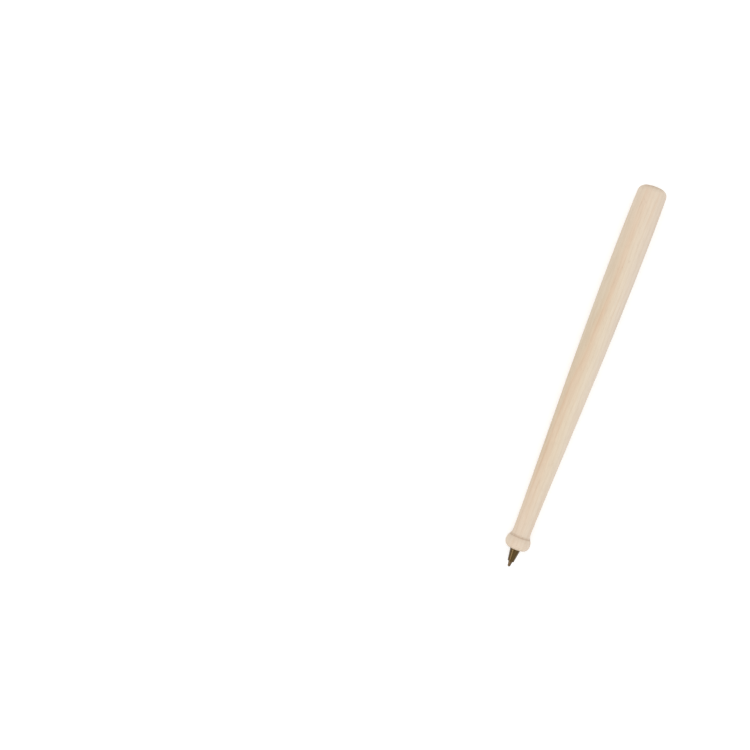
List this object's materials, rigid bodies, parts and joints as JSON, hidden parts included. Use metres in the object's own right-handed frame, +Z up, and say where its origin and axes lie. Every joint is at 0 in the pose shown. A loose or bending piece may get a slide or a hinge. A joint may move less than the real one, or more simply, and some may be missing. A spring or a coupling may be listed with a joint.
{
  "type": "bat-shaped wooden ballpoint pen",
  "caption": "Unfinished turned wooden bat with a round knob and a blind bore that holds a push-in ballpoint refill: smoky plastic cone, brass point, rolling ball, clear tube and black ink.",
  "frame": {"origin": "under the middle of the pen, on the surface that it lies on", "axes": "+X from the writing tip to the barrel's end, +Z up from the surface. The pen lies on its knob and on its barrel, so its own axis leans up by 0.50 degrees towards +X, in the XZ plane."},
  "size_m": [0.172, 0.013, 0.0132],
  "materials": {
    "bare_wood": "fine-sanded bare wood, no stain or varnish",
    "smoky_plastic": "moulded, glossy, smoky dark brown, slightly see-through",
    "point_brass": "turned brass, bright",
    "ball_metal": "polished hard metal",
    "clear_tube": "extruded, milky see-through",
    "black_ink": "wet black ink paste"
  },
  "bodies": {
    "bat": {"bat_body": "bare_wood"},
    "refill": {"nose_cone": "smoky_plastic", "brass_point": "point_brass", "ink_tube": "clear_tube", "ink_column": "black_ink"},
    "ball": {"writing_ball": "ball_metal"}
  },
  "joints": [
    {"name": "refill_pull", "type": "slide", "parent": "bat", "child": "refill", "axis": [-1, 0, -0.0087], "range_m": [0, 0.1]},
    {"name": "ball_roll", "type": "hinge", "parent": "refill", "child": "ball", "pos_m": [-0.08551, 0, 0.00536], "axis": [0, 1, 0], "continuous": true}
  ]
}
